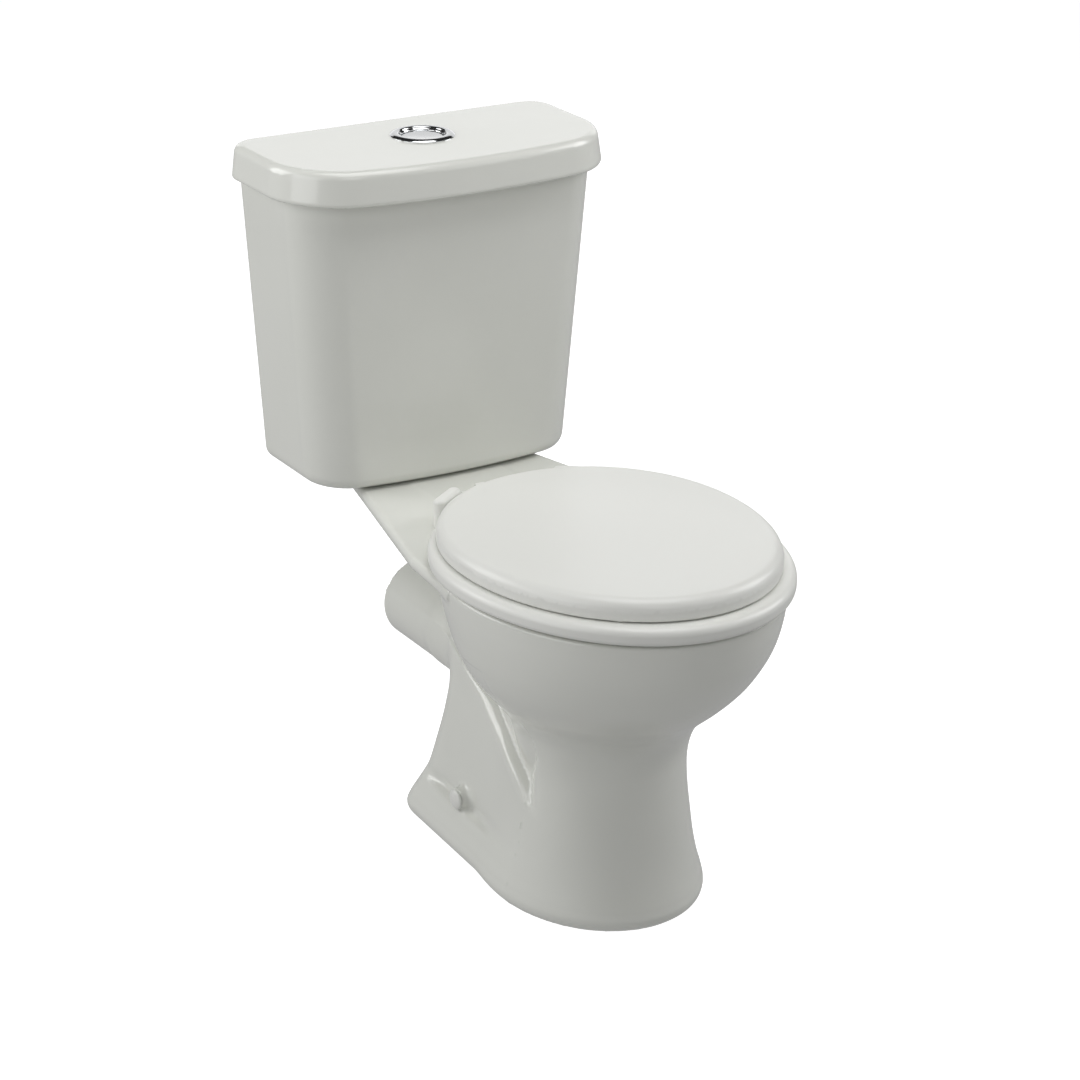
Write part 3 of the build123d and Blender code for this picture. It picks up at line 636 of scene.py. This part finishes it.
def cover_field(x, d, z):
    """Moulded cover: flat top, rolled edge, hollow underneath."""
    low, high = 402.0, COVER_HIGH[2]
    shell = raised(cover_outline(x, d, 0), z, low, high, 2.5, 13)
    hollow = raised(cover_outline(x, d, 18), z, low - 30, high - 4.5, 1, 4)
    shell = cut(shell, hollow, 2)
    shell = cut(shell, hinge_notch(x, d, z), 3)
    solid, bore = knuckle(x, d, z, 30, 7, 296, low, low + 6)
    return np.maximum(join(shell, solid, 2), -bore)


def make_seat(material):
    low = (RING_LOW[0], WALL_Y - RING_HIGH[1], RING_LOW[2])
    high = (RING_HIGH[0], WALL_Y - RING_LOW[1], RING_HIGH[2])
    piece_from_field("ring_moulding", ring_field, low, high, 2.6, "seat_ring",
                     material, ["seat_ring"])
    low = (COVER_LOW[0], WALL_Y - COVER_HIGH[1], COVER_LOW[2])
    high = (COVER_HIGH[0], WALL_Y - COVER_LOW[1], COVER_HIGH[2])
    piece_from_field("cover_moulding", cover_field, low, high, 2.6, "seat_cover",
                     material, ["seat_cover"])


def bracket_field(x, d, z):
    """Rounded block beside the seat with a short arm that holds the hinge pin."""
    side = np.abs(x)
    turn = math.radians(-35)
    u = (side - 82) * math.cos(turn) + (283 - d) * math.sin(turn)
    v = -(side - 82) * math.sin(turn) + (283 - d) * math.cos(turn)
    gap = np.maximum(np.abs(u) - 17, 0)
    pill = np.sqrt(gap**2 + v**2) - 7.5
    low, high = BRACKET_LOW[2], BRACKET_HIGH[2]
    block = raised(pill, z, low, high, 1, 4.5)
    arm = box_outline(d - HINGE_D, z - (low + HINGE_Z + 7) / 2, 7, (HINGE_Z + 7 - low) / 2, 2.5)
    arm = np.maximum(arm, np.abs(side - 66.2) - 7.8)
    return join(block, arm, 3)


def make_brackets(material):
    low = (BRACKET_LOW[0], WALL_Y - BRACKET_HIGH[1], BRACKET_LOW[2])
    high = (BRACKET_HIGH[0], WALL_Y - BRACKET_LOW[1], BRACKET_HIGH[2])
    piece_from_field("bracket_moulding", bracket_field, low, high, 1.6, "pan_and_cistern",
                     material, ["hinge_brackets"])


# ---------------------------------------------------------------- turned pieces
def lathe(name, profile, centre, body, material, nodes, axis="Z", steps=96):
    """Closed ring or solid turned from a profile of (radius, height) points, in millimetres."""
    count = len(profile)
    points, faces = [], []
    for i in range(steps):
        angle = 2 * math.pi * i / steps
        for radius, height in profile:
            a, b = radius * math.cos(angle), radius * math.sin(angle)
            place = (a, b, height) if axis == "Z" else (height, a, b)
            points.append([(c + p) * MM for c, p in zip(centre, place)])
    for i in range(steps):
        for j in range(count):
            here, ahead = i * count, (i + 1) % steps * count
            after = (j + 1) % count
            faces.append((here + j, ahead + j, ahead + after, here + after))
    mesh = bpy.data.meshes.new(name)
    mesh.from_pydata(points, [], faces)
    mesh.validate()
    finish_turned(mesh)
    adopt(name, mesh, body, material, nodes)


def finish_turned(mesh):
    """Joins points on the axis, faces outward, and shades smooth with crisp steps."""
    work = bmesh.new()
    work.from_mesh(mesh)
    bmesh.ops.remove_doubles(work, verts=work.verts, dist=1e-6)
    bmesh.ops.dissolve_degenerate(work, dist=1e-7, edges=work.edges)
    bmesh.ops.recalc_face_normals(work, faces=work.faces)
    work.to_mesh(mesh)
    work.free()
    mesh.polygons.foreach_set("use_smooth", [True] * len(mesh.polygons))
    mesh.set_sharp_from_angle(angle=math.radians(40))


def arc(centre, radius, start, end, steps=8):
    """Points on an arc, angles in degrees."""
    angles = np.radians(np.linspace(start, end, steps + 1))
    return [(centre[0] + radius * math.cos(a), centre[1] + radius * math.sin(a)) for a in angles]


def make_button(chrome):
    """Bezel ring with a rounded crest, and a shallow dished button."""
    base, top = LID_HIGH[2], BEZEL_HIGH[2]
    opening, outer = 24.0, BEZEL_HIGH[0]
    profile = [(26, BEZEL_LOW[2]), (26, base), (outer, base), (outer, base + 0.7)]
    profile += arc((31.0, base - 4.6), 7.6, 50, 88, 8)
    profile += arc((28.6, top - 2.6), 2.6, 95, 165, 6)
    profile += [(opening + 0.6, base + 0.2), (opening, base - 0.8), (opening, 740), (17, 740), (17, 737)]
    profile += [(opening, 737), (opening, BEZEL_LOW[2])]
    centre = (0, WALL_Y - BUTTON_D, 0)
    lathe("bezel_ring", profile, centre, "cistern_lid", chrome, ["button_bezel"])
    edge, crown = opening - 0.5, BUTTON_HIGH[2]
    knob = [(0, crown - 0.9)]
    knob += [(r, crown - 0.9 * (1 - (r / 20) ** 2)) for r in (4, 8, 12, 16, 20)]
    knob += arc((edge - 1.6, crown - 1.6), 1.6, 90, 0, 6)
    knob += [(edge, crown - 5), (16, crown - 5), (16, BUTTON_LOW[2]), (14, BUTTON_LOW[2])]
    knob += [(14, crown - 5), (0, crown - 5)]
    lathe("button_knob", knob, centre, "flush_button", chrome, ["flush_button"])


def make_caps(material):
    """Domed covers over the pan's fixing screws."""
    outer = CAP_HIGH[0]
    for side, name in ((-1, "left"), (1, "right")):
        root, reach = side * (outer - 5), side * 5
        profile = [(0, root - side * 2), (7.9, root - side * 2), (7.9, root), (11.5, root)]
        profile += [(11.5 * math.cos(a), root + reach * (0.25 + 0.75 * math.sin(a)))
                    for a in np.radians(np.linspace(0, 90, 10))]
        centre = (0, WALL_Y - BOSS_D, BOSS_Z)
        lathe(f"screw_cap_{name}", profile, centre, "pan_and_cistern",
              material, ["pan_screw_caps"], axis="X", steps=64)


# ---------------------------------------------------------------- materials
def new_material(name):
    """Plain material with a Principled shader; returns the material, its links and the shader."""
    material = bpy.data.materials.new(name)
    material.use_nodes = True
    return material, material.node_tree.links, material.node_tree.nodes["Principled BSDF"]


def noise(material, scale, detail=4.0, rough=0.55, stretch=(1, 1, 1)):
    """Noise in object space, in features per metre."""
    nodes, links = material.node_tree.nodes, material.node_tree.links
    place = nodes.new("ShaderNodeTexCoord")
    mapping = nodes.new("ShaderNodeMapping")
    mapping.inputs["Scale"].default_value = stretch
    texture = nodes.new("ShaderNodeTexNoise")
    texture.inputs["Scale"].default_value = scale
    texture.inputs["Detail"].default_value = detail
    texture.inputs["Roughness"].default_value = rough
    links.new(place.outputs["Object"], mapping.inputs["Vector"])
    links.new(mapping.outputs["Vector"], texture.inputs["Vector"])
    return texture.outputs["Fac"]


def ramp(material, source, low, high, start=0.3, end=0.7):
    """Colours or greys spread over a factor."""
    nodes, links = material.node_tree.nodes, material.node_tree.links
    node = nodes.new("ShaderNodeValToRGB")
    node.color_ramp.elements[0].position = start
    node.color_ramp.elements[1].position = end
    node.color_ramp.elements[0].color = low
    node.color_ramp.elements[1].color = high
    links.new(source, node.inputs["Fac"])
    return node.outputs["Color"]


def grey(value):
    return (value, value, value, 1)


def bump(material, shader, source, depth, after=None):
    """Adds a bump of this depth in metres, after an earlier one if given."""
    nodes, links = material.node_tree.nodes, material.node_tree.links
    node = nodes.new("ShaderNodeBump")
    node.inputs["Strength"].default_value = 1.0
    node.inputs["Distance"].default_value = depth
    links.new(source, node.inputs["Height"])
    if after is not None:
        links.new(after, node.inputs["Normal"])
    links.new(node.outputs["Normal"], shader.inputs["Normal"])
    return node.outputs["Normal"]


def plain_surface(name, dark, light, rough, spread, grain, depth, metal=0.0, stretch=(1, 1, 1)):
    """Surface with a slow colour change, uneven roughness and a fine grain."""
    material, links, shader = new_material(name)
    slow = noise(material, 9.0, 3.0)
    fine = noise(material, grain, 5.0, 0.6, stretch)
    links.new(ramp(material, slow, dark, light), shader.inputs["Base Color"])
    links.new(ramp(material, fine, grey(rough - spread), grey(rough + spread)), shader.inputs["Roughness"])
    shader.inputs["Metallic"].default_value = metal
    bump(material, shader, fine, depth)
    return material


def glazed_china():
    """White vitreous glaze: deep gloss, faint orange peel, slight pooling of tone."""
    material, links, shader = new_material("glazed_china")
    pooling = noise(material, 5.0, 3.0)
    tone = ramp(material, pooling, (0.775, 0.785, 0.735, 1), (0.795, 0.803, 0.757, 1))
    links.new(tone, shader.inputs["Base Color"])
    film = noise(material, 12.0, 3.0)
    links.new(ramp(material, film, grey(0.17), grey(0.23)), shader.inputs["Roughness"])
    shader.inputs["IOR"].default_value = 1.52
    shader.inputs["Coat Weight"].default_value = 0.35
    shader.inputs["Coat Roughness"].default_value = 0.08
    peel = bump(material, shader, noise(material, 90.0, 2.0), 0.000012)
    bump(material, shader, noise(material, 14.0, 2.0), 0.00016, after=peel)
    return material


def seat_plastic(name="seat_plastic"):
    """White thermoset moulding: softer gloss than the china, and a very faint grain."""
    material, links, shader = new_material(name)
    slow = noise(material, 5.0, 1.0)
    tone = ramp(material, slow, (0.79, 0.795, 0.760, 1), (0.82, 0.825, 0.79, 1), 0, 1)
    links.new(tone, shader.inputs["Base Color"])
    film = noise(material, 10.0, 1.0)
    links.new(ramp(material, film, grey(0.28), grey(0.34), 0, 1), shader.inputs["Roughness"])
    bump(material, shader, noise(material, 90.0, 1.0), 0.000006)
    return material


def make_materials():
    """One material for each slot of the record."""
    light_metal = ((0.56, 0.56, 0.55, 1), (0.68, 0.68, 0.67, 1))
    return {
        "glazed_china": glazed_china(),
        "seat_plastic": seat_plastic(),
        "hinge_plastic": seat_plastic("hinge_plastic"),
        "screw_cap_white": seat_plastic("screw_cap_white"),
        "buffer": plain_surface("buffer", (0.62, 0.62, 0.59, 1), (0.70, 0.70, 0.67, 1), 0.5, 0.08, 300, 3e-5),
        "chrome_trim": plain_surface("chrome_trim", (0.60, 0.61, 0.62, 1), (0.66, 0.67, 0.68, 1),
                                     0.10, 0.04, 180, 6e-6, metal=1.0),
        "valve_white": plain_surface("valve_white", (0.68, 0.68, 0.65, 1), (0.74, 0.74, 0.72, 1),
                                     0.48, 0.07, 260, 3e-5),
        "valve_grey": plain_surface("valve_grey", (0.13, 0.16, 0.19, 1), (0.17, 0.20, 0.23, 1),
                                    0.46, 0.07, 260, 3e-5),
        "nut_plastic": plain_surface("nut_plastic", (0.55, 0.55, 0.51, 1), (0.62, 0.62, 0.58, 1),
                                     0.50, 0.08, 240, 4e-5),
        "black_rubber": plain_surface("black_rubber", (0.012, 0.012, 0.012, 1), (0.022, 0.022, 0.021, 1),
                                      0.78, 0.08, 420, 5e-5),
        "zinc_steel": plain_surface("zinc_steel", *light_metal, 0.36, 0.07, 320, 2e-5, metal=1.0,
                                    stretch=(1, 1, 0.15)),
        "pin_steel": plain_surface("pin_steel", *light_metal, 0.22, 0.04, 420, 1e-5, metal=1.0,
                                   stretch=(0.1, 1, 1)),
    }


def dress_nodes(materials):
    """Gives every CAD node the material of its slot."""
    for entry in frame["record"]["subparts"]:
        node = frame["nodes"][entry["node"]]
        node.data.materials.clear()
        node.data.materials.append(materials[entry["material_slot"]])


# ---------------------------------------------------------------- stage and light
def make_floor():
    """White floor that glows a little, so that it shows no edge behind the part."""
    size = 9.0
    mesh = bpy.data.meshes.new("floor")
    corners = [(-size, -size, 0), (size, -size, 0), (size, size, 0), (-size, size, 0)]
    mesh.from_pydata(corners, [], [(0, 1, 2, 3)])
    paper = plain_surface("floor", (0.34, 0.34, 0.34, 1), (0.36, 0.36, 0.36, 1), 0.75, 0.05, 30, 1e-5)
    shader = paper.node_tree.nodes["Principled BSDF"]
    shader.inputs["Emission Color"].default_value = (1, 1, 1, 1)
    shader.inputs["Emission Strength"].default_value = 0.95
    mesh.materials.append(paper)
    floor = bpy.data.objects.new("floor", mesh)
    floor.visible_diffuse = False
    floor.visible_glossy = False
    bpy.context.scene.collection.objects.link(floor)


def soft_light(name, place, target, width, height, power):
    """Rectangular soft light aimed at a point."""
    data = bpy.data.lights.new(name, "AREA")
    data.shape = "RECTANGLE"
    data.size, data.size_y = width, height
    data.energy = power
    light = bpy.data.objects.new(name, data)
    light.location = place
    aim = Vector(target) - Vector(place)
    light.rotation_euler = aim.to_track_quat("-Z", "Y").to_euler()
    light.visible_camera = False
    bpy.context.scene.collection.objects.link(light)


def make_surround():
    """Dark above, with a pale band round the horizon."""
    world = bpy.data.worlds.new("surround")
    world.use_nodes = True
    nodes, links = world.node_tree.nodes, world.node_tree.links
    place = nodes.new("ShaderNodeTexCoord")
    split = nodes.new("ShaderNodeSeparateXYZ")
    sky = nodes.new("ShaderNodeValToRGB")
    sky.color_ramp.elements[0].color = grey(0.40)
    sky.color_ramp.elements[1].color = grey(0.03)
    sky.color_ramp.elements[1].position = 0.28
    links.new(place.outputs["Generated"], split.inputs["Vector"])
    links.new(split.outputs["Z"], sky.inputs["Fac"])
    links.new(sky.outputs["Color"], nodes["Background"].inputs["Color"])
    bpy.context.scene.world = world


def make_lights():
    """Broad soft lights overhead and all round, and a far card that glazed tops reflect."""
    soft_light("overhead", (0, -0.4, 3.6), (0, 0, 0.4), 2.4, 2.4, 50)
    soft_light("left", (-3.0, -0.3, 1.5), (0, 0, 0.4), 2.0, 2.0, 23)
    soft_light("left_rear", (-2.4, 1.9, 1.7), (0, 0, 0.45), 1.6, 2.0, 36)
    soft_light("right", (2.8, -0.6, 2.2), (0, 0, 0.6), 1.8, 1.8, 42)
    soft_light("far_card", (1.6, 2.9, 1.5), (0, 0, 0.6), 3.6, 1.6, 16)
    soft_light("front_left", (-1.0, -3.2, 2.6), (0, 0, 0.6), 2.0, 1.6, 14)
    soft_light("front_right", (2.2, -3.0, 2.4), (0, 0, 0.4), 2.0, 1.8, 8)
    make_surround()
    bpy.context.scene.view_settings.view_transform = "Standard"


def main():
    place_camera()
    materials = make_materials()
    dress_nodes(materials)
    make_pan(materials["glazed_china"])
    make_cistern(materials["glazed_china"])
    make_seat(materials["seat_plastic"])
    make_brackets(materials["hinge_plastic"])
    make_button(materials["chrome_trim"])
    make_caps(materials["screw_cap_white"])
    make_floor()
    make_lights()


main()
